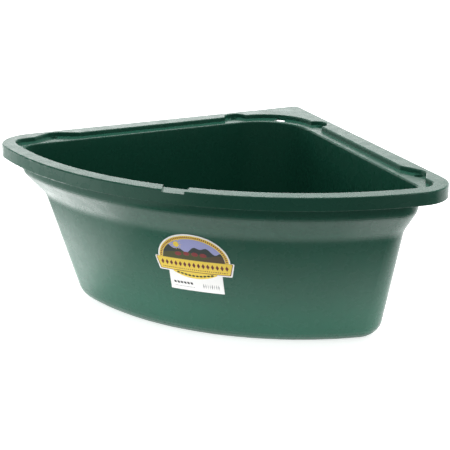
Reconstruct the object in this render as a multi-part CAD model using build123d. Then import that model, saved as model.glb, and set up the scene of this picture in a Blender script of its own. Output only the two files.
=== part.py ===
from build123d import *

import math
import os

# Corner feeder: a moulded quarter-round tub for the corner of a stall, with two paper labels.
# Plan distances are measured from the two room walls and from the corner where they meet.
# All sizes are in millimetres, and +Y points into the room corner.

# Rim, seen from above
front_radius = 467.0
front_centre_set_back = 21.0
rim_tip_radius = 50.0
rim_corner_radius = 5.0
rim_depth = 18.0
rim_top_round = 1.6
rim_foot_round = 1.0
front_band_width = 21.0

# Ledge that steps down from the rim along both room walls
ledge_set_back = 24.0
ledge_drop = 5.5
ledge_tip_radius = 20.0
ledge_corner_radius = 77.0
ledge_step_round = 1.5

# Mouth of the basin
mouth_set_back = 41.0
mouth_tip_radius = 27.0
mouth_corner_radius = 78.0
mouth_round = 2.0

# Basin, from the rim's top down
wall = 3.0
tub_height = 238.0
neck_depth = 36.0
neck_taper = 2.5
bevel_height = 36.0
bevel_inset = 31.0
bend_length = 7.0
front_slope = 16.4
back_draft = 1.0
base_round = 22.0
tip_radius_growth = 4.0

# Screw holes, in pockets that widen the ledge towards the room walls
hole_radius = 6.0
hole_set_back = 17.0
corner_hole_distance = 115.0
tip_hole_distance = 397.0
corner_pocket_radius = 17.0
tip_pocket_set_back = 9.0
tip_pocket_inner_run = 36.0
tip_pocket_outer_run = 28.0
tip_pocket_flat = 12.0
tip_pocket_round = 6.0

# Slot beside the step in the corner
slot_width = 16.0
slot_length = 17.0

# Notch in the top of the curved front band
notch_width = 30.0
notch_depth = 3.5
notch_flare = 8.0
notch_shift = 4.0

# Paper labels on the curved front, each with a film of glue below it
glue_gap = 0.15
label_thickness = 0.7
label_width = 112.0
label_foot_width = 104.0
label_band_height = 21.0
label_band_drop = 113.0
label_shoulder = 5.0
label_dome_height = 39.0
label_bowl_height = 10.0
label_bowl_width = 66.0
label_round = 2.0
sticker_thickness = 0.25
sticker_width = 76.0
sticker_drop = 124.0
sticker_height = 38.0
label_shift = 4.0

# Steps that a rounded bend or base edge is drawn in, and the slack in finding a level face
bend_steps = 4
round_steps = 6
level_slack = 0.1

ROOT_HALF = math.sqrt(0.5)


def wing_point(side, along, off):
    """Plan point at a distance along one room wall and off it; side is -1 or 1."""
    return Vector(side * ROOT_HALF * (along - off), -ROOT_HALF * (along + off))


def tip_centre(set_back, radius, tip_radius):
    """Centre of the round tip where a wing line meets the curved front, on the right."""
    off = set_back + tip_radius
    shift = ROOT_HALF * front_centre_set_back
    reach = (radius - tip_radius) ** 2 - (off - shift) ** 2
    return wing_point(1, shift + math.sqrt(reach), off)


def outline(set_back, radius, tip_radius, corner_radius):
    """Face of a quarter-round outline, set back from both walls, with rounded corners."""
    front_centre = Vector(0, -front_centre_set_back)
    corner_centre = Vector(0, -(set_back + corner_radius) / ROOT_HALF)
    outward = Vector(ROOT_HALF, ROOT_HALF)
    tip = tip_centre(set_back, radius, tip_radius)
    spoke = (tip - front_centre).normalized()
    bulge = (outward + spoke).normalized()
    corner_end = corner_centre + outward * corner_radius
    corner_top = corner_centre + Vector(0, corner_radius)
    wing_end = tip + outward * tip_radius
    tip_middle = tip + bulge * tip_radius
    front_end = front_centre + spoke * radius
    front_middle = front_centre - Vector(0, radius)

    def mirrored(point):
        return Vector(-point.X, point.Y)

    edges = [
        ThreePointArc(mirrored(corner_end), corner_top, corner_end),
        Line(corner_end, wing_end),
        ThreePointArc(wing_end, tip_middle, front_end),
        ThreePointArc(front_end, front_middle, mirrored(front_end)),
        ThreePointArc(mirrored(front_end), mirrored(tip_middle), mirrored(wing_end)),
        Line(mirrored(wing_end), mirrored(corner_end)),
    ]
    return make_face(edges)


def slab(face, bottom, top):
    """Upright solid of a plan face between two levels, measured from the rim's top."""
    return Pos(0, 0, bottom) * extrude(face, top - bottom, dir=(0, 0, 1))


def front_profile():
    """Radius and depth at each corner of the outer front, from the rim's top to the base."""
    top = front_radius - front_band_width + wall
    bevel_foot = neck_depth + bevel_height
    foot = top - neck_taper - bevel_inset
    base = foot - math.tan(math.radians(front_slope)) * (tub_height - bevel_foot)
    return [
        (top, 0.0),
        (top - neck_taper, neck_depth),
        (foot, bevel_foot),
        (base, tub_height),
    ]


def inner_profile(thickness):
    """The front profile moved inward by a wall thickness, square to each stretch."""
    corners = front_profile()
    slopes = []
    for upper, lower in zip(corners, corners[1:]):
        slopes.append((upper[0] - lower[0]) / (lower[1] - upper[1]))

    def line(index, depth):
        radius, start = corners[index]
        shift = thickness * math.hypot(1, slopes[index])
        return radius - shift - slopes[index] * (depth - start)

    moved = [(line(0, 0.0), 0.0)]
    for index in range(len(slopes) - 1):
        gap = line(index + 1, 0.0) - line(index, 0.0)
        depth = gap / (slopes[index + 1] - slopes[index])
        moved.append((line(index, depth), depth))
    moved.append((line(len(slopes) - 1, tub_height), tub_height))
    return moved


def bent(corners):
    """Profile points with each inner corner eased over the bend length on both sides."""
    points = [corners[0]]
    for before, corner, after in zip(corners, corners[1:], corners[2:]):
        ease_in = bend_length / math.dist(before, corner)
        ease_out = bend_length / math.dist(corner, after)
        start = [c + (b - c) * ease_in for b, c in zip(before, corner)]
        end = [c + (a - c) * ease_out for a, c in zip(after, corner)]
        for step in range(bend_steps + 1):
            share = step / bend_steps
            weights = ((1 - share) ** 2, 2 * share * (1 - share), share**2)
            radius = sum(w * p for w, p in zip(weights, (start[0], corner[0], end[0])))
            depth = sum(w * p for w, p in zip(weights, (start[1], corner[1], end[1])))
            points.append((radius, depth))
    points.append(corners[-1])
    return points


def tub_solid(thickness, base):
    """Closed solid of the basin: the outside at thickness 0, or the hollow inside it."""
    profile = bent(inner_profile(thickness))
    depths = [depth for _, depth in profile[:-1]]
    edge = base_round - thickness
    foot = base - edge

    def radius_at(depth):
        for upper, lower in zip(profile, profile[1:]):
            if depth <= lower[1]:
                share = (depth - upper[1]) / (lower[1] - upper[1])
                return upper[0] + (lower[0] - upper[0]) * share
        return profile[-1][0]

    def section(depth, inset):
        set_back = mouth_set_back - wall + thickness + inset
        set_back += math.tan(math.radians(back_draft)) * depth
        tip = mouth_tip_radius + wall - thickness - inset
        tip += tip_radius_growth * depth / tub_height
        corner = mouth_corner_radius + wall - thickness - inset
        face = outline(set_back, radius_at(depth) - inset, tip, corner)
        return Pos(0, 0, -depth) * face

    sections = [section(depth, 0.0) for depth in depths]
    for step in range(round_steps + 1):
        angle = math.radians(90.0 * step / round_steps)
        inset = edge * (1 - math.cos(angle))
        sections.append(section(foot + edge * math.sin(angle), inset))
    return loft(sections, ruled=True)


def tip_pocket(side, grow):
    """Plan face of the widened ledge at a tip's screw hole, grown by a margin."""
    start = tip_hole_distance - tip_pocket_flat / 2
    end = tip_hole_distance + tip_pocket_flat / 2
    deep = tip_pocket_set_back - grow
    foot = ledge_set_back + wall
    corners = [
        (start - tip_pocket_inner_run - grow, foot),
        (start - grow, deep),
        (end + grow, deep),
        (end + tip_pocket_outer_run + grow, foot),
    ]
    points = [wing_point(side, along, off) for along, off in corners]
    face = make_face(Polyline(*points, close=True))
    deep_corners = [face.vertices().sort_by_distance(point)[0] for point in points[1:3]]
    return fillet(deep_corners, tip_pocket_round + grow)


def corner_pocket(side, grow):
    """Plan face of the round pocket at a corner's screw hole, grown by a margin."""
    centre = wing_point(side, corner_hole_distance, ledge_set_back + wall / 2)
    return Pos(centre.X, centre.Y) * Circle(corner_pocket_radius + grow)


def ledge_plan(grow):
    """Plan face of the lowered ledge with its four pockets, grown by a margin."""
    front = front_radius - front_band_width
    face = outline(
        ledge_set_back - grow, front + grow, ledge_tip_radius + grow, ledge_corner_radius + grow
    )
    for side in (-1, 1):
        face = face + tip_pocket(side, grow) + corner_pocket(side, grow)
    return face


def notch_plan(grow):
    """Plan face of the notch across the front band, grown by a margin."""
    inner = -front_centre_set_back - front_radius + front_band_width + rim_top_round + grow
    outer = -front_centre_set_back - front_radius - rim_top_round - grow
    half = notch_width / 2 + grow
    points = [
        Vector(notch_shift - half, outer),
        Vector(notch_shift + half, outer),
        Vector(notch_shift + half, inner),
        Vector(notch_shift - half - notch_flare, inner),
    ]
    return make_face(Polyline(*points, close=True))


def rim_plan(inset):
    """Plan face of the rim, drawn in by an inset."""
    return outline(inset, front_radius - inset, rim_tip_radius - inset, rim_corner_radius - inset)


def rim_solid():
    """The rim: a flange with a hanging skirt, hollow below, and thick under ledge and notch."""
    block = slab(rim_plan(0.0), -rim_depth, 0.0)
    block = fillet(block.faces().sort_by(Axis.Z)[-1].edges(), rim_top_round)
    block = fillet(block.faces().sort_by(Axis.Z)[0].edges(), rim_foot_round)
    hollow = slab(rim_plan(wall), -rim_depth, -wall)
    hollow -= slab(ledge_plan(wall), -ledge_drop - wall, -wall)
    hollow -= slab(notch_plan(wall), -notch_depth - wall, -wall)
    return block - hollow


def hole_centres():
    """Plan centres of the four screw holes."""
    centres = []
    for side in (-1, 1):
        for distance in (corner_hole_distance, tip_hole_distance):
            centres.append(wing_point(side, distance, hole_set_back))
    return centres


def corner_line(set_back, radius):
    """Depth in plan of a rounded outline on the line from the room corner to the front."""
    return -(set_back + radius) / ROOT_HALF + radius


def round_opening(solid, height, radius):
    """Rounds the edges of the opening in a solid's largest level face at a height."""
    level = solid.faces().filter_by(Axis.Z)
    level = level.filter_by_position(Axis.Z, height - level_slack, height + level_slack)
    opening = level.sort_by(SortBy.AREA)[-1].inner_wires()[0]
    return fillet(opening.edges(), radius)


def make_tub():
    """The moulded tub, with its rim's top at level 0."""
    tub = rim_solid() + tub_solid(0.0, tub_height)
    tub -= slab(ledge_plan(0.0), -ledge_drop, 0.0)
    tub = round_opening(tub, 0.0, ledge_step_round)
    tub -= slab(notch_plan(0.0), -notch_depth, 0.0)
    tub -= tub_solid(wall, tub_height - wall)
    tub = round_opening(tub, -ledge_drop, mouth_round)
    for centre in hole_centres():
        tub -= Pos(centre.X, centre.Y, -rim_depth) * extrude(
            Circle(hole_radius), rim_depth, dir=(0, 0, 1)
        )
    slot_top = corner_line(ledge_set_back, ledge_corner_radius)
    slot = Pos(0, slot_top - slot_length / 2, 0) * Rectangle(slot_width, slot_length)
    return tub - slab(slot, -ledge_drop - 2 * wall, 0.0)


def front_skin(inner, outer):
    """Skin over the outside of the tub, between two heights above its surface."""
    return tub_solid(-outer, tub_height + outer) - tub_solid(-inner, tub_height + inner)


def arched_outline():
    """Upright face of the arched label: a dome over a banner over a shallow bowl."""
    half = label_width / 2
    foot = label_foot_width / 2
    dome = half - label_shoulder
    bowl = label_bowl_width / 2
    low = -label_band_height
    banner = make_face(Polyline((-half, 0), (half, 0), (foot, low), (-foot, low), close=True))
    banner = fillet(banner.vertices(), label_round)
    arch = make_face([
        EllipticalCenterArc((0, 0), dome, label_dome_height, arc_size=180),
        Line((dome, 0), (dome, low / 2)),
        Line((dome, low / 2), (-dome, low / 2)),
        Line((-dome, low / 2), (-dome, 0)),
    ])
    dish = make_face([
        ThreePointArc((-bowl, low), (0, low - label_bowl_height), (bowl, low)),
        Line((bowl, low), (-bowl, low)),
    ])
    return banner + arch + dish


def upright(face, drop):
    """Solid that runs forward from the tub's middle, over an upright face hung at a depth."""
    middle = (label_shift, -front_radius / 2, -drop)
    plane = Plane(origin=middle, x_dir=(1, 0, 0), z_dir=(0, -1, 0))
    return extrude(plane * face, front_radius, dir=(0, -1, 0))


def make_labels():
    """The arched label and the plain sticker that it overlaps, both on the curved front."""
    plain = Rectangle(sticker_width, sticker_height)
    around = Rectangle(sticker_width + 2 * glue_gap, sticker_height + 2 * glue_gap)
    middle = sticker_drop + sticker_height / 2
    top = glue_gap + sticker_thickness
    sticker = front_skin(glue_gap, top) & upright(plain, middle)
    room = front_skin(0.0, top + glue_gap) & upright(around, middle)
    arched = front_skin(glue_gap, glue_gap + label_thickness)
    arched &= upright(arched_outline(), label_band_drop)
    return arched - room, sticker


def placed(shape):
    """Moves a shape so that the origin is in the middle of the underside of the whole tub."""
    back = corner_line(0.0, rim_corner_radius)
    front = -front_centre_set_back - front_radius
    return Pos(0, -(back + front) / 2, tub_height) * shape


def main():
    """Writes one file for each piece."""
    os.makedirs("parts", exist_ok=True)
    arched, sticker = make_labels()
    pieces = {
        "tub": make_tub(),
        "arched_label": arched,
        "capacity_sticker": sticker,
    }
    for name, shape in pieces.items():
        solid = placed(shape)
        solid.label = name
        export_step(solid, f"parts/{name}.step")
        box = solid.bounding_box()
        print(name, "solids", len(solid.solids()), "volume", round(solid.volume), box.size)


main()
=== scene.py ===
import logging
import math
from collections.abc import Callable, Iterable, Sequence
from dataclasses import dataclass
from enum import Enum

import bmesh
import bpy
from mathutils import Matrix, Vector
from mathutils.geometry import delaunay_2d_cdt


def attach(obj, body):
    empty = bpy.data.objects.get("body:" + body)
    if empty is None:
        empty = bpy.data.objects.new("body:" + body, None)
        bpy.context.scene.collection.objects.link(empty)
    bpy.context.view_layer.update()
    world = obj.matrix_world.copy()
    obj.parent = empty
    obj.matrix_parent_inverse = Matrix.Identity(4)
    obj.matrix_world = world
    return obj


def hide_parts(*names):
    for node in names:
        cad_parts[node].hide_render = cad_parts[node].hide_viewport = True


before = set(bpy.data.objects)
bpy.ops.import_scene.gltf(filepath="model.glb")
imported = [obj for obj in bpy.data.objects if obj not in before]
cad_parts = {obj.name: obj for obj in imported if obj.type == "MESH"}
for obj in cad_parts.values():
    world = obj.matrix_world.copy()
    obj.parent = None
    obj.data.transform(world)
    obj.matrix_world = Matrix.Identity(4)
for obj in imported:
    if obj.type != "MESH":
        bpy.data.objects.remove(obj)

LOG = logging.getLogger("corner_feeder")
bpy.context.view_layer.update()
IMAGE_SIDE = 450
METRES = 0.001

Colour = tuple[float, float, float, float]
FlatPoint = tuple[float, float]
Place = tuple[float, float, float]
Range = tuple[float, float]
Lift = Callable[[float, float], float]
Socket = bpy.types.NodeSocket
Sockets = dict[str, Socket]
Value = object

WHITE_LIGHT: Colour = (1.0, 1.0, 1.0, 1.0)


class Shades:
    """Builds one node tree, with short calls that make, set and link its nodes."""

    MIX_INPUTS = (0, 6, 7)
    MIX_RESULT = 2

    def __init__(self, tree: bpy.types.NodeTree) -> None:
        """Keeps the tree that the nodes go into, and empties it."""
        self.tree = tree
        tree.nodes.clear()

    def give(self, socket: Socket, value: Value) -> None:
        """Links an output to an input, or sets the input to a plain value.

        Args:
            socket: The input.
            value: The output, or the plain value.
        """
        if isinstance(value, bpy.types.NodeSocket):
            self.tree.links.new(value, socket)
        else:
            socket.default_value = value

    def add(self, kind: str, inputs: dict[object, Value] | None = None, **values: Value) -> bpy.types.Node:
        """Makes a node.

        Args:
            kind: The node's type name.
            inputs: A value or an output socket for each input, by name or number.
            **values: Properties of the node, by name.

        Returns:
            The new node.
        """
        node = self.tree.nodes.new(kind)
        for name, value in values.items():
            setattr(node, name, value)
        for key, value in (inputs or {}).items():
            self.give(node.inputs[key], value)
        return node

    def math(self, operation: str, *values: Value, clamp: bool = False) -> Socket:
        """Adds a Math node.

        Args:
            operation: The node's operation.
            *values: Numbers or output sockets, in order.
            clamp: Whether the result is kept from 0 to 1.

        Returns:
            The node's result.
        """
        node = self.add("ShaderNodeMath", dict(enumerate(values)), operation=operation, use_clamp=clamp)
        return node.outputs[0]

    def spread(self, value: Value, low: float, high: float, first: Value = 0.0, last: Value = 1.0) -> Socket:
        """Maps a range of values to another, clamped.

        Args:
            value: The value that is mapped.
            low: Its lower end.
            high: Its upper end.
            first: The result at the lower end.
            last: The result at the upper end.

        Returns:
            The mapped value.
        """
        node = self.add("ShaderNodeMapRange", dict(enumerate((value, low, high, first, last))))
        return node.outputs["Result"]

    def blend(self, share: Value, first: Value, second: Value) -> Socket:
        """Mixes two colours.

        Args:
            share: How much of the second colour shows.
            first: The first colour.
            second: The second colour.

        Returns:
            The mixed colour.
        """
        inputs = dict(zip(self.MIX_INPUTS, (share, first, second)))
        node = self.add("ShaderNodeMix", inputs, data_type="RGBA", blend_type="MIX")
        return node.outputs[self.MIX_RESULT]

    def patches(
        self, place: Value, scale: float, low: float, high: float, first: Value = 0.0, last: Value = 1.0,
        detail: float = 3.0, rough: float = 0.5
    ) -> Socket:
        """Cuts patches with soft edges from noise.

        Args:
            place: The coordinates.
            scale: How many blobs there are to a metre.
            low: The noise at a patch's outer edge.
            high: The noise at its inner edge.
            first: The result outside the patches.
            last: The result inside the patches.
            detail: How many finer layers the noise has.
            rough: How strong the finer layers are.

        Returns:
            The patches.
        """
        inputs = {"Vector": place, "Scale": scale, "Detail": detail, "Roughness": rough}
        noise = self.add("ShaderNodeTexNoise", inputs).outputs["Fac"]
        return self.spread(noise, low, high, first, last)

    def place(self, kind: str = "Object") -> Socket:
        """Gives coordinates of a kind, such as the object's own in metres."""
        return self.add("ShaderNodeTexCoord").outputs[kind]


def new_object(name: str, data: bpy.types.ID) -> bpy.types.Object:
    """Makes an object in the scene.

    Args:
        name: The object's name.
        data: Its mesh, camera or lamp.

    Returns:
        The object.
    """
    made = bpy.data.objects.new(name, data)
    bpy.context.scene.collection.objects.link(made)
    return made


def new_material(name: str) -> tuple[bpy.types.Material, Shades]:
    """Makes an empty material.

    Args:
        name: The material's name.

    Returns:
        The material and its nodes.
    """
    material = bpy.data.materials.new(name)
    material.use_nodes = True
    return material, Shades(material.node_tree)


@dataclass(frozen=True)
class EffectGroup:
    """A shader node group, made once and then placed in each material with its own values."""

    name: str
    inputs: tuple[str, ...]
    outputs: tuple[str, ...]
    draw: Callable[[Shades, Sockets], Sockets]

    def tree(self) -> bpy.types.NodeTree:
        """Makes the group's node tree, or finds it where it is made already.

        Returns:
            The group's node tree.
        """
        found = bpy.data.node_groups.get(self.name)
        if found:
            return found
        tree = bpy.data.node_groups.new(self.name, "ShaderNodeTree")
        tree.interface.new_socket("Place", in_out="INPUT", socket_type="NodeSocketVector")
        for name in self.inputs:
            tree.interface.new_socket(name, in_out="INPUT", socket_type="NodeSocketFloat")
        for name in self.outputs:
            tree.interface.new_socket(name, in_out="OUTPUT", socket_type="NodeSocketFloat")
        shades = Shades(tree)
        given = shades.add("NodeGroupInput").outputs
        shades.add("NodeGroupOutput", self.draw(shades, given))
        return tree

    def put(self, shades: Shades, **values: Value) -> bpy.types.Node:
        """Places the group in a material.

        Args:
            shades: The material's nodes.
            **values: A value for each input, with an underscore for a space.

        Returns:
            The group node.
        """
        node = shades.add("ShaderNodeGroup", node_tree=self.tree())
        for name, value in values.items():
            shades.give(node.inputs[name.replace("_", " ")], value)
        return node


MIDDLE_OF_NOISE: Range = (0.35, 0.65)
MOST_OF_NOISE: Range = (0.3, 0.7)
FINE_DETAIL = 2.0
BEVEL_SAMPLES = 4
FLAT_TO_SHARP: Range = (0.995, 0.86)
SIDE_TO_TOP: Range = (0.2, 0.9)
DUST_ON_SIDES = 0.25
SCUFF_TURN: Place = (0.2, 0.5, 0.3)
SCUFF_STRETCH: Place = (6.0, 6.0, 240.0)


def draw_grain(shades: Shades, given: Sockets) -> Sockets:
    """Draws a moulded or pressed grain: soft cells under fine noise.

    Args:
        shades: The group's nodes.
        given: The group's inputs by name.

    Returns:
        The outputs by name.
    """
    place = given["Place"]
    cells = shades.add(
        "ShaderNodeTexVoronoi",
        {"Vector": place, "Scale": given["Cells"], "Randomness": 1.0},
        feature="SMOOTH_F1",
    ).outputs["Distance"]
    fine = shades.add(
        "ShaderNodeTexNoise", {"Vector": place, "Scale": given["Fine"], "Detail": FINE_DETAIL}
    ).outputs["Fac"]
    height = shades.math("MULTIPLY_ADD", cells, given["Cell Share"], fine)
    return {"Height": height, "Mask": shades.spread(fine, *MIDDLE_OF_NOISE)}


def draw_wear(shades: Shades, given: Sockets) -> Sockets:
    """Draws a mask along the sharper edges, broken up by noise.

    Args:
        shades: The group's nodes.
        given: The group's inputs by name.

    Returns:
        The outputs by name.
    """
    soft = shades.add("ShaderNodeBevel", {"Radius": given["Reach"]}, samples=BEVEL_SAMPLES)
    true = shades.add("ShaderNodeNewGeometry")
    same = shades.add(
        "ShaderNodeVectorMath",
        {0: soft.outputs["Normal"], 1: true.outputs["Normal"]},
        operation="DOT_PRODUCT",
    ).outputs["Value"]
    edge = shades.spread(same, *FLAT_TO_SHARP)
    patches = shades.patches(given["Place"], scale=90.0, low=0.4, high=0.6, first=0.2)
    broken = shades.math("MULTIPLY", edge, patches)
    return {"Mask": shades.math("MULTIPLY", broken, given["Amount"], clamp=True)}


def draw_dust(shades: Shades, given: Sockets) -> Sockets:
    """Draws a mask of fine dust, which lies thicker on faces that look up.

    Args:
        shades: The group's nodes.
        given: The group's inputs by name.

    Returns:
        The outputs by name.
    """
    place = given["Place"]
    normal = shades.add("ShaderNodeNewGeometry").outputs["Normal"]
    upward = shades.add("ShaderNodeSeparateXYZ", {0: normal}).outputs["Z"]
    lying = shades.spread(upward, *SIDE_TO_TOP, first=DUST_ON_SIDES)
    cloud = shades.patches(place, scale=14.0, low=0.4, high=0.75, detail=5.0, rough=0.6)
    specks = shades.patches(place, scale=900.0, low=0.45, high=0.7, first=0.2, detail=FINE_DETAIL)
    mask = shades.math("MULTIPLY", shades.math("MULTIPLY", lying, cloud), specks)
    return {"Mask": shades.math("MULTIPLY", mask, given["Amount"], clamp=True)}


def draw_scuffs(shades: Shades, given: Sockets) -> Sockets:
    """Draws long thin rubs that run one way, in a few patches.

    Args:
        shades: The group's nodes.
        given: The group's inputs by name.

    Returns:
        The outputs by name.
    """
    place = given["Place"]
    stretched = shades.add(
        "ShaderNodeMapping", {"Vector": place, "Rotation": SCUFF_TURN, "Scale": SCUFF_STRETCH}
    ).outputs[0]
    lines = shades.patches(stretched, scale=1.0, low=0.62, high=0.72, detail=4.0, rough=0.6)
    patches = shades.patches(place, scale=5.0, low=0.52, high=0.68)
    mask = shades.math("MULTIPLY", lines, patches)
    return {"Mask": shades.math("MULTIPLY", mask, given["Amount"], clamp=True)}


GRAIN = EffectGroup("surface_grain", ("Cells", "Fine", "Cell Share"), ("Height", "Mask"), draw_grain)
WEAR = EffectGroup("edge_wear", ("Reach", "Amount"), ("Mask",), draw_wear)
DUST = EffectGroup("fine_dust", ("Amount",), ("Mask",), draw_dust)
SCUFFS = EffectGroup("long_scuffs", ("Amount",), ("Mask",), draw_scuffs)


@dataclass(frozen=True)
class Finish:
    """A material with grain, worn edges and dust, by default as thin as paper. Lengths are in metres."""

    name: str
    colour: Colour
    worn_colour: Colour = (0.75, 0.73, 0.68, 1.0)
    dust_colour: Colour = (0.45, 0.43, 0.38, 1.0)
    roughness: Range = (0.29, 0.42)
    uneven_scale: float = 160.0
    detail: float = 3.0
    grain_cells: float = 900.0
    grain_fine: float = 2600.0
    grain_share: float = 0.4
    grain_strength: float = 0.05
    grain_depth: float = 0.0001
    edge_reach: float = 0.0003
    edge_wear: float = 0.25
    dust: float = 0.06
    refraction: float = 1.5
    rubbed_roughness: float = 0.0

    def tint(self, shades: Shades, masks: Sockets) -> tuple[Socket, Socket]:
        """Draws the colour below the dust.

        Args:
            shades: The material's nodes.
            masks: The place, grain and wear that it is drawn from.

        Returns:
            The colour, and a mask of what is worn or rubbed.
        """
        raise NotImplementedError

    def build(self) -> bpy.types.Material:
        """Makes the material.

        Returns:
            The finished material.
        """
        material, shades = new_material(self.name)
        place = shades.place()
        cells = {"Cells": self.grain_cells, "Fine": self.grain_fine, "Cell_Share": self.grain_share}
        grain = GRAIN.put(shades, Place=place, **cells).outputs
        wear = WEAR.put(shades, Place=place, Reach=self.edge_reach, Amount=self.edge_wear).outputs["Mask"]
        dust = DUST.put(shades, Place=place, Amount=self.dust).outputs["Mask"]
        colour, rubbed = self.tint(shades, {"place": place, "grain": grain["Mask"], "wear": wear})
        colour = shades.blend(dust, colour, self.dust_colour)
        rough = shades.patches(place, self.uneven_scale, *MOST_OF_NOISE, *self.roughness, detail=self.detail)
        if self.rubbed_roughness:
            marred = shades.math("MAXIMUM", rubbed, dust)
            rough = shades.math("MULTIPLY_ADD", marred, self.rubbed_roughness, rough)
        bump = shades.add(
            "ShaderNodeBump",
            {"Strength": self.grain_strength, "Distance": self.grain_depth, "Height": grain["Height"]},
        ).outputs["Normal"]
        skin = shades.add(
            "ShaderNodeBsdfPrincipled",
            {"Base Color": colour, "Roughness": rough, "Normal": bump, "IOR": self.refraction},
        )
        shades.add("ShaderNodeOutputMaterial", {"Surface": skin.outputs[0]})
        return material


@dataclass(frozen=True)
class MouldedPlastic(Finish):
    """Dark green moulded polyethylene: satin, a little mottled, with a few rubs."""

    name: str = "green_polyethylene"
    colour: Colour = (0.0165, 0.107, 0.069, 1.0)
    worn_colour: Colour = (0.045, 0.140, 0.104, 1.0)
    dust_colour: Colour = (0.18, 0.21, 0.18, 1.0)
    roughness: Range = (0.22, 0.32)
    uneven_scale: float = 55.0
    detail: float = 4.0
    grain_cells: float = 420.0
    grain_fine: float = 1300.0
    grain_share: float = 0.9
    grain_strength: float = 0.045
    grain_depth: float = 0.0004
    edge_reach: float = 0.0012
    edge_wear: float = 0.35
    dust: float = 0.10
    refraction: float = 1.46
    rubbed_roughness: float = 0.25
    deep_colour: Colour = (0.0145, 0.096, 0.061, 1.0)
    drift_scale: float = 7.0
    scuffs: float = 0.08

    def tint(self, shades: Shades, masks: Sockets) -> tuple[Socket, Socket]:
        """Draws the green, which drifts a little, under its worn edges and scuffs."""
        scuffs = SCUFFS.put(shades, Place=masks["place"], Amount=self.scuffs).outputs["Mask"]
        drift = shades.patches(masks["place"], self.drift_scale, *MIDDLE_OF_NOISE, detail=self.detail)
        colour = shades.blend(drift, self.colour, self.deep_colour)
        rubbed = shades.math("MAXIMUM", masks["wear"], scuffs)
        return shades.blend(rubbed, colour, self.worn_colour), rubbed


@dataclass(frozen=True)
class PrintedPaper(Finish):
    """Coated label paper in one printed colour, with a little wear and paper grain."""

    mottle: float = 0.06

    def tint(self, shades: Shades, masks: Sockets) -> tuple[Socket, Socket]:
        """Draws the ink, mottled by the paper's grain and worn at the edges."""
        darker = tuple(part * (1.0 - self.mottle) for part in self.colour[:3]) + (1.0,)
        colour = shades.blend(masks["grain"], self.colour, darker)
        return shades.blend(masks["wear"], colour, self.worn_colour), masks["wear"]


class Ink(Enum):
    """The colours that the labels are printed in."""

    WHITE = PrintedPaper("label_white", (0.93, 0.93, 0.91, 1.0), mottle=0.02)
    YELLOW = PrintedPaper("label_yellow", (0.87, 0.64, 0.06, 1.0), mottle=0.04)
    RED_BROWN = PrintedPaper("label_red_brown", (0.17, 0.028, 0.018, 1.0))
    BARN_RED = PrintedPaper("label_field_red", (0.30, 0.045, 0.045, 1.0), mottle=0.2)
    SKY = PrintedPaper("label_sky", (0.36, 0.38, 0.68, 1.0), mottle=0.1)
    FAR_HILL = PrintedPaper("label_far_hill", (0.045, 0.062, 0.060, 1.0), mottle=0.3)
    MEADOW = PrintedPaper("label_meadow", (0.095, 0.105, 0.035, 1.0), mottle=0.3)
    EARTH = PrintedPaper("label_earth", (0.115, 0.080, 0.040, 1.0), mottle=0.3)
    LEAF = PrintedPaper("label_leaf", (0.030, 0.045, 0.012, 1.0))
    GREY = PrintedPaper("label_grey", (0.30, 0.30, 0.31, 1.0))
    DARK = PrintedPaper("label_dark", (0.035, 0.035, 0.04, 1.0))

    def material(self) -> bpy.types.Material:
        """Gives the ink's material, which is made once."""
        return bpy.data.materials.get(self.value.name) or self.value.build()


@dataclass(frozen=True)
class FrontWall:
    """The tub's curved front, in the sizes of the part's source, in millimetres."""

    rim_height: float = 238.0
    centre_back: float = 224.036
    foot_radius: float = 415.5
    foot_depth: float = 72.0
    front_slope: float = math.tan(math.radians(16.4))
    bevel_run: float = 31.0
    bevel_rise: float = 36.0
    bend_length: float = 7.0
    bend_steps: int = 4
    lean_reach: float = 0.5

    def bend(self) -> list[FlatPoint]:
        """Gives the radius and depth along the eased bend below the bevel.

        Returns:
            Radius and depth pairs, from the top down.
        """
        above = self.bend_length / math.hypot(self.bevel_run, self.bevel_rise)
        below = self.bend_length / math.hypot(self.front_slope, 1.0)
        start = (self.foot_radius + self.bevel_run * above, self.foot_depth - self.bevel_rise * above)
        end = (self.foot_radius - self.front_slope * below, self.foot_depth + below)
        corners = (start, (self.foot_radius, self.foot_depth), end)
        points = []
        for step in range(self.bend_steps + 1):
            share = step / self.bend_steps
            weights = ((1 - share) ** 2, 2 * share * (1 - share), share ** 2)
            points.append(tuple(sum(w * c[axis] for w, c in zip(weights, corners)) for axis in (0, 1)))
        return points

    def radius(self, depth: float) -> float:
        """Gives the front's radius at a depth below the rim's top.

        Args:
            depth: The depth, at or below the bevel's lower bend.

        Returns:
            The radius.
        """
        points = self.bend()
        points.append((points[-1][0] - self.front_slope, points[-1][1] + 1.0))
        spans = list(zip(points, points[1:]))
        upper, lower = next((span for span in spans if depth <= span[1][1]), spans[-1])
        share = (depth - upper[1]) / (lower[1] - upper[1])
        return upper[0] + (lower[0] - upper[0]) * share

    def point(self, across: float, height: float, lift: float) -> Vector:
        """Gives a point over the front.

        Args:
            across: The distance right of the tub's middle.
            height: The height above the base.
            lift: The distance off the tub's surface.

        Returns:
            The point, in metres.
        """
        depth, reach = self.rim_height - height, self.lean_reach
        radius = self.radius(depth)
        lean = math.atan((self.radius(depth - reach) - self.radius(depth + reach)) / (2 * reach))
        spoke = math.sqrt(radius ** 2 - across ** 2)
        outward = Vector((across / radius, -spoke / radius, 0.0)) * math.cos(lean)
        outward.z = -math.sin(lean)
        base = Vector((across, self.centre_back - spoke, height))
        return (base + outward * lift) * METRES


@dataclass(frozen=True)
class FlatShape:
    """A flat shape on a label, in millimetres right of and above the label's middle line.

    Its lifts are how far its underside and its top lie off the tub.
    """

    ink: Ink
    outline: Sequence[FlatPoint]
    lifts: Range
    hole: Sequence[FlatPoint] = ()


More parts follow.
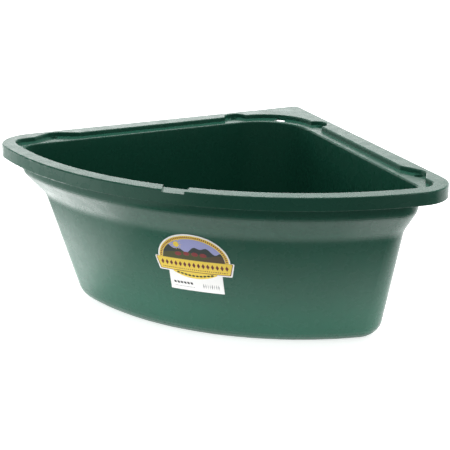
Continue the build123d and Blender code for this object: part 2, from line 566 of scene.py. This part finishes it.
ARC_STEPS = 48
BOWL_STEPS = 24
CORNER_STEPS = 5
HILL_STEPS = 40
LEAST_GROUND = 0.4


def arc_points(
    centre: FlatPoint, across: float, up: float, start: float, end: float, count: int
) -> list[FlatPoint]:
    """Gives points along an arc of an ellipse.

    Args:
        centre: The ellipse's centre.
        across: Its half width.
        up: Its half height.
        start: The first angle, in degrees anticlockwise from the right.
        end: The last angle.
        count: The number of steps.

    Returns:
        The points, both ends included.
    """
    angles = [math.radians(start + (end - start) * step / count) for step in range(count + 1)]
    return [(centre[0] + across * math.cos(a), centre[1] + up * math.sin(a)) for a in angles]


def corner_points(corner: FlatPoint, radius: float, start: float) -> list[FlatPoint]:
    """Gives points round a corner of an outline that spans the label's middle line.

    Args:
        corner: The corner before it is rounded.
        radius: The round's radius.
        start: The angle that the round starts at: 0, 90, 180 or 270 degrees.

    Returns:
        The points, anticlockwise.
    """
    across = corner[0] - math.copysign(radius, corner[0])
    up = corner[1] - radius if start < 180.0 else corner[1] + radius
    return arc_points((across, up), radius, radius, start, start + 90.0, CORNER_STEPS)


def bowl_points(half: float, drop: float, rim: float) -> list[FlatPoint]:
    """Gives points along a shallow bowl, from its left end through the bottom to its right end.

    Args:
        half: Half of the bowl's width.
        drop: The depth of its bottom below its ends.
        rim: The height of its ends.

    Returns:
        The points, both ends included.
    """
    radius = (half ** 2 + drop ** 2) / (2 * drop)
    reach = math.degrees(math.asin(half / radius))
    return arc_points((0.0, rim - drop + radius), radius, radius, 270.0 - reach, 270.0 + reach, BOWL_STEPS)


def hill_points(
    half: float, rise: float, foot: float, ridge: Callable[[float], float]
) -> list[FlatPoint]:
    """Gives the outline of ground that fills an elliptical arch up to a ridge line.

    Args:
        half: Half of the arch's width at its foot.
        rise: The height of its top above its foot.
        foot: The height of its foot.
        ridge: The ridge's height at a distance across.

    Returns:
        The outline, anticlockwise.
    """
    points = [(-half, foot), (half, foot)]
    for step in range(HILL_STEPS + 1):
        across = half - 2 * half * step / HILL_STEPS
        arch = foot + rise * math.sqrt(max(1.0 - (across / half) ** 2, 0.0))
        points.append((across, max(min(ridge(across), arch), foot + LEAST_GROUND)))
    return points


def swell(across: float, rise: float, reach: float, shift: float = 0.0) -> float:
    """Gives a wave's height at a distance across."""
    return rise * math.sin(across / reach + shift)


def mound(across: float, rise: float, middle: float, reach: float) -> float:
    """Gives a rounded mound's height at a distance across."""
    return rise * math.exp(-(((across - middle) / reach) ** 2))


@dataclass(frozen=True)
class MarkRow:
    """A row of like marks along a path on a label, made by Geometry Nodes.

    Sizes and lifts are in millimetres and the turn is in degrees.
    """

    ink: Ink
    path: Sequence[FlatPoint]
    lifts: Range
    count: int
    width: float
    height: float
    sides: int = 4
    turn: float = 0.0
    variation: float = 0.0
    seed: int = 0

    TREE_NAME = "marks_along_a_path"
    RANDOM_LEAST, RANDOM_MOST, RANDOM_RESULT = 2, 3, 1
    UNIT_RADIUS = 0.5

    def tree(self) -> bpy.types.NodeTree:
        """Makes the tree of Geometry Nodes, or finds it where it is made already.

        Returns:
            The node tree.
        """
        found = bpy.data.node_groups.get(self.TREE_NAME)
        if found:
            return found
        tree = bpy.data.node_groups.new(self.TREE_NAME, "GeometryNodeTree")
        tree.interface.new_socket("Path", in_out="INPUT", socket_type="NodeSocketGeometry")
        for name, kind in (
            ("Count", "Int"), ("Width", "Float"), ("Height", "Float"), ("Sides", "Int"),
            ("Turn", "Float"), ("Variation", "Float"), ("Seed", "Int"), ("Material", "Material"),
        ):
            tree.interface.new_socket(name, in_out="INPUT", socket_type=f"NodeSocket{kind}")
        tree.interface.new_socket("Marks", in_out="OUTPUT", socket_type="NodeSocketGeometry")
        nodes = Shades(tree)
        given = nodes.add("NodeGroupInput").outputs
        curve = nodes.add("GeometryNodeMeshToCurve", {"Mesh": given["Path"]})
        spaced = nodes.add(
            "GeometryNodeResampleCurve", {"Curve": curve.outputs[0], "Count": given["Count"]}, mode="COUNT"
        )
        along = nodes.add("GeometryNodeInputTangent").outputs[0]
        follow = nodes.add("FunctionNodeAlignRotationToVector", {"Vector": along}, axis="X")
        spin = nodes.add("ShaderNodeCombineXYZ", {"Z": given["Turn"]})
        turned = nodes.add(
            "FunctionNodeRotateRotation",
            {"Rotation": follow.outputs[0], "Rotate By": spin.outputs[0]},
            rotation_space="LOCAL",
        )
        shape = nodes.add(
            "GeometryNodeMeshCircle", {"Vertices": given["Sides"], "Radius": self.UNIT_RADIUS},
            fill_type="NGON",
        )
        least = nodes.math("SUBTRACT", 1.0, given["Variation"])
        most = nodes.math("ADD", 1.0, given["Variation"])
        size = nodes.add(
            "FunctionNodeRandomValue",
            {self.RANDOM_LEAST: least, self.RANDOM_MOST: most, "Seed": given["Seed"]},
            data_type="FLOAT",
        )
        wide = nodes.math("MULTIPLY", given["Width"], size.outputs[self.RANDOM_RESULT])
        scale = nodes.add("ShaderNodeCombineXYZ", {"X": wide, "Y": given["Height"], "Z": 1.0})
        marks = nodes.add("GeometryNodeInstanceOnPoints", {
            "Points": spaced.outputs[0], "Instance": shape.outputs[0],
            "Rotation": turned.outputs[0], "Scale": scale.outputs[0],
        })
        real = nodes.add("GeometryNodeRealizeInstances", {0: marks.outputs[0]})
        inked = nodes.add(
            "GeometryNodeSetMaterial", {"Geometry": real.outputs[0], "Material": given["Material"]}
        )
        nodes.add("NodeGroupOutput", {0: inked.outputs[0]})
        return tree

    def flat_mesh(self) -> bpy.types.Mesh:
        """Runs the nodes over the path.

        Returns:
            A flat mesh of the marks, in millimetres.
        """
        line = bpy.data.meshes.new("mark_path")
        points = [(u, v, 0.0) for u, v in self.path]
        line.from_pydata(points, [(i, i + 1) for i in range(len(points) - 1)], [])
        carrier = new_object("mark_path", line)
        modifier = carrier.modifiers.new("marks", "NODES")
        modifier.node_group = self.tree()
        values = {
            "Count": self.count, "Width": self.width, "Height": self.height, "Sides": self.sides,
            "Turn": math.radians(self.turn), "Variation": self.variation, "Seed": self.seed,
            "Material": self.ink.material(),
        }
        for item in modifier.node_group.interface.items_tree:
            if item.in_out == "INPUT" and item.name in values:
                modifier[item.identifier] = values[item.name]
        graph = bpy.context.evaluated_depsgraph_get()
        mesh = bpy.data.meshes.new_from_object(carrier.evaluated_get(graph))
        carrier.modifiers.remove(modifier)
        bpy.data.objects.remove(carrier)
        return mesh


@dataclass(frozen=True)
class LabelSheet:
    """Wraps flat shapes and marks onto the tub's front as thin closed layers."""

    node: str
    slot: str
    middle: float = 4.0
    band_height: float = 125.0
    cell: float = 4.0
    wall: FrontWall = FrontWall()

    INSIDE, INSIDE_WITH_HOLES = 1, 2
    SAME_POINT = 1e-5

    def fine_ring(self, ring: Sequence[FlatPoint]) -> list[Vector]:
        """Splits a ring's long sides, so that they can follow the curved front.

        Args:
            ring: The ring's points.

        Returns:
            The points, none further from the next than a cell's side.
        """
        corners = [Vector(point) for point in ring]
        points = []
        for start, end in zip(corners, corners[1:] + corners[:1]):
            steps = max(1, math.ceil((end - start).length / self.cell))
            points += [start.lerp(end, step / steps) for step in range(steps)]
        return points

    def cut(self, shape: FlatShape) -> tuple[list[Vector], list[Sequence[int]]]:
        """Cuts a flat shape into small triangles, which can follow the curved front.

        Args:
            shape: The flat shape.

        Returns:
            Its points and its faces.
        """
        outline = self.fine_ring(shape.outline)
        hole = self.fine_ring(shape.hole)
        rings = [list(range(len(outline)))]
        if hole:
            rings.append(list(range(len(outline), len(outline) + len(hole))))
        columns, rows = (
            range(math.floor(min(along) / self.cell), math.ceil(max(along) / self.cell) + 1)
            for along in zip(*outline)
        )
        grid = [Vector((c * self.cell, r * self.cell)) for c in columns for r in rows]
        kept = self.INSIDE_WITH_HOLES if hole else self.INSIDE
        points, _, faces, *_ = delaunay_2d_cdt(outline + hole + grid, [], rings, kept, self.SAME_POINT)
        return points, faces

    def thicken(
        self, points: Sequence[Vector], faces: Iterable[Sequence[int]], low: Lift, high: float, name: str
    ) -> bpy.types.Mesh:
        """Makes a closed layer of flat faces, over the tub's front.

        Args:
            points: The flat points.
            faces: The flat faces.
            low: The underside's lift at a flat point.
            high: The top's lift.
            name: The mesh's name.

        Returns:
            The layer's mesh.
        """
        shell = bmesh.new()
        tops: dict[int, bmesh.types.BMVert] = {}
        bottoms: dict[int, bmesh.types.BMVert] = {}
        sides: list[tuple[int, int]] = []
        for face in faces:
            for index in face:
                if index not in tops:
                    u, v = points[index][0], points[index][1]
                    here = (self.middle + u, self.band_height + v)
                    tops[index] = shell.verts.new(self.wall.point(*here, high))
                    bottoms[index] = shell.verts.new(self.wall.point(*here, low(u, v)))
            shell.faces.new([tops[i] for i in face])
            shell.faces.new([bottoms[i] for i in reversed(face)])
            sides += zip(face, (*face[1:], face[0]))
        known = set(sides)
        for start, end in sides:
            if (end, start) not in known:
                shell.faces.new([tops[end], tops[start], bottoms[start], bottoms[end]])
        bmesh.ops.recalc_face_normals(shell, faces=shell.faces)
        mesh = bpy.data.meshes.new(name)
        shell.to_mesh(mesh)
        shell.free()
        return mesh

    def finish(self, mesh: bpy.types.Mesh, ink: Ink) -> None:
        """Makes a layer a piece of the object, in its ink.

        Args:
            mesh: The layer's mesh.
            ink: Its ink.
        """
        mesh.materials.clear()
        mesh.materials.append(ink.material())
        piece = new_object(mesh.name, mesh)
        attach(piece, "root")
        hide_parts(self.node)

    def lay(self, name: str, shape: FlatShape, low: Lift | None = None) -> None:
        """Lays a flat shape on the front.

        Args:
            name: The piece's name.
            shape: The flat shape.
            low: The underside's lift at a flat point, where it isn't the same all over.
        """
        points, faces = self.cut(shape)
        under, over = shape.lifts
        self.finish(self.thicken(points, faces, low or (lambda u, v: under), over, name), shape.ink)

    def stamp(self, name: str, row: MarkRow) -> None:
        """Lays a row of marks on the front.

        Args:
            name: The piece's name.
            row: The row of marks.
        """
        flat = row.flat_mesh()
        points = [v.co.copy() for v in flat.vertices]
        faces = [tuple(p.vertices) for p in flat.polygons]
        under, over = row.lifts
        self.finish(self.thicken(points, faces, lambda u, v: under, over, name), row.ink)
        bpy.data.meshes.remove(flat)


@dataclass(frozen=True)
class PlainSticker:
    """The white sticker below, with plain ruled marks."""

    half_width: float = 38.0
    top: float = -11.0
    bottom: float = -49.0
    lifts: Range = (0.12, 0.36)
    mark_lifts: Range = (0.34, 0.39)
    sheet: LabelSheet = LabelSheet("capacity_sticker", "white_sticker")

    def build(self) -> None:
        """Makes the sheet and its marks."""
        left, right = -self.half_width, self.half_width
        corners = ((left, self.bottom), (right, self.bottom), (right, self.top), (left, self.top))
        self.sheet.lay("sticker_sheet", FlatShape(Ink.WHITE, corners, self.lifts))
        rows = {
            "sticker_blocks": MarkRow(
                Ink.DARK, ((-31.0, -37.6), (-7.0, -37.6)), self.mark_lifts,
                count=6, width=3.9, height=5.4, turn=45.0),
            "sticker_rule": MarkRow(
                Ink.GREY, ((-31.0, -43.4), (-4.0, -43.4)), self.mark_lifts,
                count=14, width=1.3, height=1.3, sides=10),
            "sticker_bars": MarkRow(
                Ink.GREY, ((10.0, -39.6), (31.0, -39.6)), self.mark_lifts,
                count=8, width=1.6, height=8.6, variation=0.4, seed=7),
        }
        for name, row in rows.items():
            self.sheet.stamp(name, row)
        LOG.info("sticker: sheet and %d rows of marks", len(rows))


@dataclass(frozen=True)
class ArchedLabel:
    """The arched label: a landscape under a dotted arch, over a yellow banner and bowl."""

    half_width: float = 56.0
    foot_half: float = 52.0
    band: float = 21.0
    dome_half: float = 51.0
    dome_rise: float = 39.0
    bowl_half: float = 33.0
    bowl_drop: float = 10.0
    bowl_margin: float = 2.0
    border: float = 1.8
    edge_line: float = 0.9
    ring: float = 5.0
    round_corner: float = 2.0
    banner_round_share: float = 0.8
    banner_top_share: float = 0.25
    picture_foot: float = -0.55
    dots_start: float = 4.0
    sun_centre: FlatPoint = (-22.0, 21.5)
    sun_radius: float = 4.2
    sun_steps: int = 24
    ray_radius: float = 6.6
    ray_path_steps: int = 36
    paper_lifts: Range = (0.15, 0.56)
    over_sticker: float = 0.40
    raised_half: float = 41.0
    raised_top: float = -8.0
    first_ink: Range = (0.54, 0.60)
    second_ink: Range = (0.58, 0.64)
    third_ink: Range = (0.62, 0.68)
    fourth_ink: Range = (0.66, 0.72)
    sky_marks: Range = (0.58, 0.66)
    ground_marks: Range = (0.66, 0.74)
    banner_marks: Range = (0.66, 0.73)
    bowl_marks: Range = (0.62, 0.70)
    sheet: LabelSheet = LabelSheet("arched_label", "printed_label")

    def banner(self, inset: float) -> list[FlatPoint]:
        """Gives the banner's outline with rounded corners.

        Args:
            inset: How far it is drawn in from the paper's edge.

        Returns:
            The outline, anticlockwise from its upper right.
        """
        half, foot = self.half_width - inset, self.foot_half - inset
        top, low = -inset * self.banner_top_share, -self.band + inset
        turn = self.round_corner * self.banner_round_share
        corners = (((half, top), 0.0), ((-half, top), 90.0), ((-foot, low), 180.0), ((foot, low), 270.0))
        return [point for corner, start in corners for point in corner_points(corner, turn, start)]

    def arch(self, inset: float, start: float = 0.0) -> list[FlatPoint]:
        """Gives an arch over the picture's foot.

        Args:
            inset: How far it is drawn in from the paper's dome.
            start: How far up the arch both its ends are, in degrees.

        Returns:
            The points, anticlockwise from the right end.
        """
        half, rise = self.dome_half - inset, self.dome_rise - inset
        return arc_points((0.0, self.picture_foot), half, rise, start, 180.0 - start, ARC_STEPS)

    def outline(self) -> list[FlatPoint]:
        """Gives the outline of the whole label.

        Returns:
            The outline, anticlockwise from the banner's lower right.
        """
        turn, low = self.round_corner, -self.band
        return [
            *corner_points((self.foot_half, low), turn, 270.0),
            *corner_points((self.half_width, 0.0), turn, 0.0),
            *arc_points((0.0, 0.0), self.dome_half, self.dome_rise, 0.0, 180.0, ARC_STEPS),
            *corner_points((-self.half_width, 0.0), turn, 90.0),
            *corner_points((-self.foot_half, low), turn, 180.0),
            *bowl_points(self.bowl_half, self.bowl_drop, low),
        ]

    def underside(self, across: float, up: float) -> float:
        """Gives the paper's underside lift, which is higher over the sticker below it."""
        over = abs(across) < self.raised_half and up < self.raised_top
        return self.over_sticker if over else self.paper_lifts[0]

    def paper(self) -> None:
        """Makes the white die-cut paper."""
        self.sheet.lay("label_paper", FlatShape(Ink.WHITE, self.outline(), self.paper_lifts), self.underside)

    def picture(self) -> None:
        """Makes the arch's ring, the sky and the ground."""
        inset = self.border + self.ring
        ring, sky = self.arch(self.border), self.arch(inset)
        self.sheet.lay("label_ring", FlatShape(Ink.YELLOW, ring, self.first_ink, hole=sky[::-1]))
        self.sheet.lay("label_sky", FlatShape(Ink.SKY, sky, self.first_ink))
        grounds = (
            ("label_far_hills", Ink.FAR_HILL, self.second_ink,
             lambda u: 16.0 + swell(u, rise=3.5, reach=7.5) + swell(u, rise=2.2, reach=3.1, shift=1.0)),
            ("label_meadow", Ink.MEADOW, self.third_ink,
             lambda u: 9.0 + swell(u + 12.0, rise=2.5, reach=14.0, shift=math.pi / 2)),
            ("label_earth", Ink.EARTH, self.fourth_ink,
             lambda u: -4.0 + mound(u, rise=14.0, middle=36.0, reach=24.0)),
        )
        for name, ink, lifts, ridge in grounds:
            shape = hill_points(self.dome_half - inset, self.dome_rise - inset, self.picture_foot, ridge)
            self.sheet.lay(name, FlatShape(ink, shape, lifts))

    def picture_marks(self) -> None:
        """Makes the arch's dots, the sun and the stacks of hay."""
        self.sheet.stamp("label_arch_dots", MarkRow(
            Ink.BARN_RED, self.arch(self.border + self.ring / 2, self.dots_start), self.sky_marks,
            count=44, width=1.9, height=3.2, sides=10))
        sun = arc_points(self.sun_centre, self.sun_radius, self.sun_radius, 0.0, 360.0, self.sun_steps)
        self.sheet.lay("label_sun", FlatShape(Ink.YELLOW, sun[:-1], self.sky_marks))
        rays = arc_points(
            self.sun_centre, self.ray_radius, self.ray_radius, 0.0, 360.0, self.ray_path_steps)
        self.sheet.stamp("label_sun_rays", MarkRow(
            Ink.YELLOW, rays, self.sky_marks, count=13, width=0.9, height=2.6))
        stacks = arc_points((2.0, 6.0), across=26.0, up=3.0, start=150.0, end=60.0, count=12)
        self.sheet.stamp("label_hay_stacks", MarkRow(
            Ink.BARN_RED, stacks, self.ground_marks,
            count=4, width=8.0, height=6.0, sides=14, variation=0.3, seed=3))

    def banner_and_bowl(self) -> None:
        """Makes the yellow banner and bowl with their ornament."""
        edge = self.banner(self.border)
        self.sheet.lay("label_banner_edge", FlatShape(Ink.RED_BROWN, edge, self.second_ink))
        inner = self.banner(self.border + self.edge_line)
        self.sheet.lay("label_banner", FlatShape(Ink.YELLOW, inner, self.third_ink))
        half, join = self.bowl_half - self.bowl_margin, self.border - self.band
        bowl = bowl_points(half, self.bowl_drop - self.bowl_margin, -self.band)
        bowl += [(half, join), (-half, join)]
        self.sheet.lay("label_bowl", FlatShape(Ink.YELLOW, bowl, self.first_ink))
        hanging = ((-24.0, -21.6), (-10.0, -24.4), (0.0, -25.0), (10.0, -24.4), (24.0, -21.6))
        rows = {
            "label_lozenges": MarkRow(
                Ink.RED_BROWN, ((-45.5, -8.2), (45.5, -8.2)), self.banner_marks,
                count=15, width=4.6, height=8.2),
            "label_seeds": MarkRow(
                Ink.RED_BROWN, ((-45.0, -15.4), (45.0, -15.4)), self.banner_marks,
                count=31, width=1.7, height=1.5, sides=8, variation=0.3, seed=5),
            "label_leaves": MarkRow(
                Ink.LEAF, hanging, self.bowl_marks, count=10, width=4.8, height=2.8, sides=6),
        }
        for name, row in rows.items():
            self.sheet.stamp(name, row)

    def build(self) -> None:
        """Makes the paper, its picture, and its banner and bowl."""
        self.paper()
        self.picture()
        self.picture_marks()
        self.banner_and_bowl()
        LOG.info("arched label: paper, picture, banner and bowl")


@dataclass(frozen=True)
class Tub:
    """The moulded tub, whose shape comes from the frame."""

    finish: MouldedPlastic = MouldedPlastic()

    def build(self) -> None:
        """Dresses the tub's own node."""
        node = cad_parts["tub"]
        node.data.materials.clear()
        node.data.materials.append(self.finish.build())
        LOG.info("tub: dressed in %s", self.finish.name)


@dataclass(frozen=True)
class CameraView:
    """The photograph's camera, worked out from the feeder's edges in it."""

    azimuth: float = 21.52
    elevation: float = 17.81
    distance: float = 1.9903
    focal_pixels: float = 1422.9
    centre_column: float = 230.26
    centre_row: float = 214.94
    target: Place = (0.0, -0.03696, 0.144)
    sensor_width: float = 36.0
    clip_end: float = 60.0

    def build(self) -> None:
        """Makes the camera and puts it in the scene."""
        turn = math.radians(self.azimuth)
        rise = math.radians(self.elevation)
        back = Vector((math.sin(turn) * math.cos(rise), -math.cos(turn) * math.cos(rise), math.sin(rise)))
        data = bpy.data.cameras.new("photo_camera")
        data.sensor_width = self.sensor_width
        data.lens = self.focal_pixels / IMAGE_SIDE * self.sensor_width
        data.shift_x = 0.5 - self.centre_column / IMAGE_SIDE
        data.shift_y = self.centre_row / IMAGE_SIDE - 0.5
        data.clip_end = self.clip_end
        camera = new_object("photo_camera", data)
        camera.location = Vector(self.target) + back * self.distance
        camera.rotation_euler = back.to_track_quat("Z", "Y").to_euler()
        bpy.context.scene.camera = camera


@dataclass(frozen=True)
class Softbox:
    """A large soft lamp, which the camera doesn't see."""

    name: str
    place: Place
    aim: Place
    width: float
    height: float
    power: float

    def build(self) -> None:
        """Makes the lamp and turns it to its aim."""
        data = bpy.data.lights.new(self.name, "AREA")
        data.shape = "RECTANGLE"
        data.size = self.width
        data.size_y = self.height
        data.energy = self.power
        lamp = new_object(self.name, data)
        lamp.location = self.place
        away = Vector(self.place) - Vector(self.aim)
        lamp.rotation_euler = away.to_track_quat("Z", "Y").to_euler()
        lamp.visible_camera = False


@dataclass(frozen=True)
class Table:
    """The pale table, white to the camera and lit from below near the feeder, with a painted shadow of the
    tub in that glow round the tub's foot.

    Ranges and edges are in metres, and glows and shines are strengths of light.
    """

    half_width: float = 12.0
    colour: Colour = (0.86, 0.86, 0.86, 1.0)
    far_colour: Colour = (0.10, 0.10, 0.10, 1.0)
    roughness: float = 0.9
    whitening: Range = (0.35, 1.0)
    near_lift: float = 0.78
    far_lift: float = 1.0
    front_centre: Place = (-0.02, 0.224, 0.0)
    foot_edge: float = 0.38
    glow_edge: float = 0.46
    glow_end: float = 0.55
    behind: Range = (0.0, 0.3)
    foot_shadow_glow: float = 0.45
    glow: float = 3.0
    glow_fade: Range = (0.9, 1.6)
    shine: float = 0.58
    left_shine: float = 0.72
    left_fade: Range = (-0.28, -0.20)

    def paint(self, shades: Shades) -> None:
        """Draws the table's colour and light.

        Args:
            shades: The nodes of the table's material.
        """
        place = shades.place()
        parts = shades.add("ShaderNodeSeparateXYZ", {0: place}).outputs
        spoke = shades.add(
            "ShaderNodeVectorMath", {0: place, 1: self.front_centre}, operation="DISTANCE"
        ).outputs["Value"]
        near = shades.spread(spoke, self.glow_edge, self.glow_end, 1.0, 0.0)
        table = shades.math("MAXIMUM", near, shades.spread(parts["Y"], *self.behind))
        reach = shades.add("ShaderNodeVectorMath", {0: place}, operation="LENGTH").outputs["Value"]
        path = shades.add("ShaderNodeLightPath").outputs
        seen, matte = path["Is Camera Ray"], path["Is Diffuse Ray"]
        whitened = shades.spread(reach, *self.whitening, self.near_lift, self.far_lift)
        # The glow falls off towards the tub's foot: a painted shadow of the tub, in the light that the table
        # gives the tub.
        glow = shades.spread(spoke, self.foot_edge, self.glow_edge, self.foot_shadow_glow, self.glow)
        level = shades.spread(matte, 0.0, 1.0, self.shine, glow)
        level = shades.math("MULTIPLY", level, shades.spread(reach, *self.glow_fade, 1.0, 0.0))
        left = shades.spread(parts["X"], *self.left_fade, self.left_shine, 0.0)
        left = shades.math("MULTIPLY", shades.math("SUBTRACT", 1.0, matte), left)
        unseen = shades.math(
            "MULTIPLY", shades.math("SUBTRACT", 1.0, seen), shades.math("MULTIPLY_ADD", table, level, left))
        strength = shades.math("ADD", shades.math("MULTIPLY", seen, whitened), unseen)
        colour = shades.blend(shades.math("MAXIMUM", seen, table), self.far_colour, self.colour)
        paint = shades.add("ShaderNodeBsdfPrincipled", {
            "Base Color": colour, "Roughness": self.roughness, "Specular IOR Level": 0.0,
            "Emission Color": WHITE_LIGHT, "Emission Strength": strength,
        })
        shades.add("ShaderNodeOutputMaterial", {"Surface": paint.outputs[0]})

    def build(self) -> None:
        """Makes the table's top and its material."""
        half = self.half_width
        corners = [(-half, -half, 0), (half, -half, 0), (half, half, 0), (-half, half, 0)]
        mesh = bpy.data.meshes.new("floor")
        mesh.from_pydata(corners, [], [(0, 1, 2, 3)])
        floor = new_object("floor", mesh)
        material, shades = new_material("table_top")
        self.paint(shades)
        mesh.materials.append(material)


@dataclass(frozen=True)
class Room:
    """The world: white to the camera, and brighter behind the feeder than before it.

    Ranges are of one part of a direction, from -1 to 1.
    """

    skew: float = -0.3
    front_to_back: Range = (-0.3, 0.7)
    front_light: float = 0.06
    back_light: float = 1.0
    band_end: Range = (0.255, 0.315)
    low_band: float = 2.9
    high_band: float = 0.12
    band_to_top: Range = (0.4, 0.7)
    top_light: float = 0.34
    matte_lift: float = 2.0
    sky_rise: Range = (0.5, 0.8)
    sky_behind: Range = (0.1, 0.4)
    back_sky: float = 1.5

    def build(self) -> None:
        """Makes the world and puts it in the scene."""
        world = bpy.data.worlds.new("studio_room")
        world.use_nodes = True
        shades = Shades(world.node_tree)
        parts = shades.add("ShaderNodeSeparateXYZ", {0: shades.place("Generated")}).outputs
        ahead = shades.math("MULTIPLY_ADD", parts["X"], self.skew, parts["Y"])
        room = shades.spread(ahead, *self.front_to_back, self.front_light, self.back_light)
        band = shades.spread(parts["Z"], *self.band_end, self.low_band, self.high_band)
        band = shades.math("MULTIPLY", band, shades.spread(parts["Z"], *self.band_to_top, 1.0, 0.0))
        top = shades.spread(parts["Z"], *self.band_to_top, 0.0, self.top_light)
        lit = shades.math("MULTIPLY_ADD", room, band, top)
        path = shades.add("ShaderNodeLightPath").outputs
        seen, matte = path["Is Camera Ray"], path["Is Diffuse Ray"]
        lit = shades.math("MULTIPLY", lit, shades.spread(matte, 0.0, 1.0, 1.0, self.matte_lift))
        sky = shades.math("MULTIPLY", shades.spread(parts["Z"], *self.sky_rise, 0.0, self.back_sky), matte)
        lit = shades.math("MULTIPLY_ADD", sky, shades.spread(parts["Y"], *self.sky_behind), lit)
        strength = shades.math("MAXIMUM", lit, seen)
        background = shades.add("ShaderNodeBackground", {"Color": WHITE_LIGHT, "Strength": strength})
        shades.add("ShaderNodeOutputWorld", {"Surface": background.outputs[0]})
        bpy.context.scene.world = world


@dataclass(frozen=True)
class Studio:
    """The pale table, the room around it and the lamps."""

    table: Table = Table()
    room: Room = Room()
    lamps: tuple[Softbox, ...] = (
        Softbox("back_top", (0.0, 1.3, 2.8), (0.0, 0.0, 0.2), width=2.4, height=1.4, power=50.0),
        Softbox("back_left", (-1.9, 2.6, 0.8), (0.0, 0.0, 0.2), width=1.8, height=0.8, power=2.0),
        Softbox("left_side", (-2.4, -1.1, 0.19), (0.0, 0.0, 0.19), width=1.6, height=0.24, power=36.0),
        Softbox("right_side", (2.3, -0.9, 0.22), (0.2, 0.0, 0.20), width=1.0, height=0.24, power=6.0),
    )

    def build(self) -> None:
        """Makes the table, the room and every lamp."""
        self.table.build()
        self.room.build()
        for lamp in self.lamps:
            lamp.build()
        bpy.context.scene.view_settings.view_transform = "Standard"
        LOG.info("studio: table, room and %d lamps", len(self.lamps))


def main() -> None:
    """Builds the studio, the camera and every sub-assembly, in order."""
    logging.basicConfig(level=logging.INFO, format="%(name)s %(message)s")
    Studio().build()
    CameraView().build()
    Tub().build()
    PlainSticker().build()
    ArchedLabel().build()


if __name__ == "__main__":
    main()
